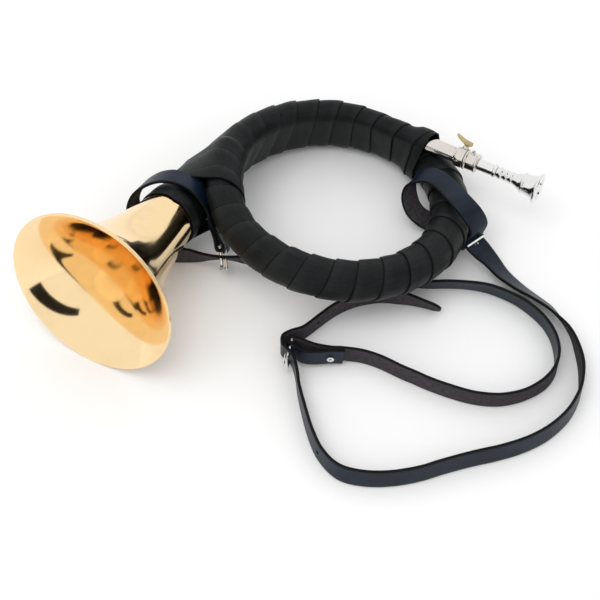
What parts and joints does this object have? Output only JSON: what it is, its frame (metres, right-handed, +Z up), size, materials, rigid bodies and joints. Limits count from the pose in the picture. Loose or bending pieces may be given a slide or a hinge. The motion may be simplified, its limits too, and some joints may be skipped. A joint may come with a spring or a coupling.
{
  "type": "hunting horn",
  "caption": "Small coiled brass hunting horn with a flared bell, leather-wrapped coil, tuning slide, mouthpiece and a buckled leather carrying strap.",
  "frame": {"origin": "on the floor, under the middle of the horn's own box, the strap left out", "axes": "+Z up from the floor, +X from the bell towards the mouthpiece, -Y towards the bell's mouth"},
  "size_m": [0.4432, 0.3688, 0.1374],
  "materials": {
    "bell_brass": "polished and lacquered",
    "rim_brass": "polished and lacquered",
    "tube_brass": "drawn, unpolished under the leather",
    "nickel_silver": "polished nickel silver",
    "silver_plate": "bright plating",
    "wrap_leather": "satin black, smooth side out",
    "strap_leather": "blue-black smooth side, grey-brown flesh side"
  },
  "bodies": {
    "horn": {"bell_flare": "bell_brass", "bell_rim_wire": "rim_brass", "coil_tube_small": "tube_brass", "coil_tube_large": "tube_brass", "coil_stay_front": "tube_brass", "coil_stay_back": "tube_brass", "leather_wrap_ring": "wrap_leather", "leather_wrap_shared": "wrap_leather", "leather_wrap_tail": "wrap_leather", "slide_sleeve": "nickel_silver", "sleeve_collar": "nickel_silver", "sleeve_end_collar": "nickel_silver", "strap_tongue_part": "strap_leather", "strap_buckle_part": "strap_leather", "adjusting_buckle_frame": "silver_plate", "coil_loop_buckle_frame": "silver_plate", "throat_loop_buckle_frame": "silver_plate", "adjusting_fold_rivet": "silver_plate", "coil_fold_rivet": "silver_plate", "throat_fold_rivet": "silver_plate"},
    "slide": {"tuning_slide": "nickel_silver"},
    "mouthpiece": {"mouthpiece": "silver_plate"},
    "wing_screw": {"wing_screw": "rim_brass"},
    "adjusting_prong": {"adjusting_buckle_prong": "silver_plate"},
    "coil_loop_prong": {"coil_loop_buckle_prong": "silver_plate"},
    "throat_loop_prong": {"throat_loop_buckle_prong": "silver_plate"}
  },
  "joints": [
    {"name": "tuning_slide_travel", "type": "slide", "parent": "horn", "child": "slide", "axis": [0.8772, -0.4802, -0.0022], "range_m": [-0.012, 0.015]},
    {"name": "mouthpiece_pull", "type": "slide", "parent": "slide", "child": "mouthpiece", "axis": [0.8772, -0.4802, -0.0022], "range_m": [0, 0.022]},
    {"name": "wing_screw_turn", "type": "hinge", "parent": "horn", "child": "wing_screw", "pos_m": [0.14411, 0.06213, 0.04518], "axis": [0.3119, 0.5661, 0.7631], "range_deg": [-30, 330]},
    {"name": "adjusting_prong_swing", "type": "hinge", "parent": "horn", "child": "adjusting_prong", "pos_m": [0.0025, -0.112, 0.0137], "axis": [0, 0, -1], "range_deg": [0, 110], "deforming": ["strap_tongue_part", "strap_buckle_part"]},
    {"name": "coil_loop_prong_swing", "type": "hinge", "parent": "horn", "child": "coil_loop_prong", "pos_m": [0.1495, 0.0001, 0.0098], "axis": [0.8117, 0.5478, 0.2029], "range_deg": [0, 110], "deforming": ["strap_tongue_part"]},
    {"name": "throat_loop_prong_swing", "type": "hinge", "parent": "horn", "child": "throat_loop_prong", "pos_m": [-0.0566, -0.0213, 0.0211], "axis": [-0.2, -0.5499, 0.8109], "range_deg": [0, 110], "deforming": ["strap_buckle_part"]}
  ]
}
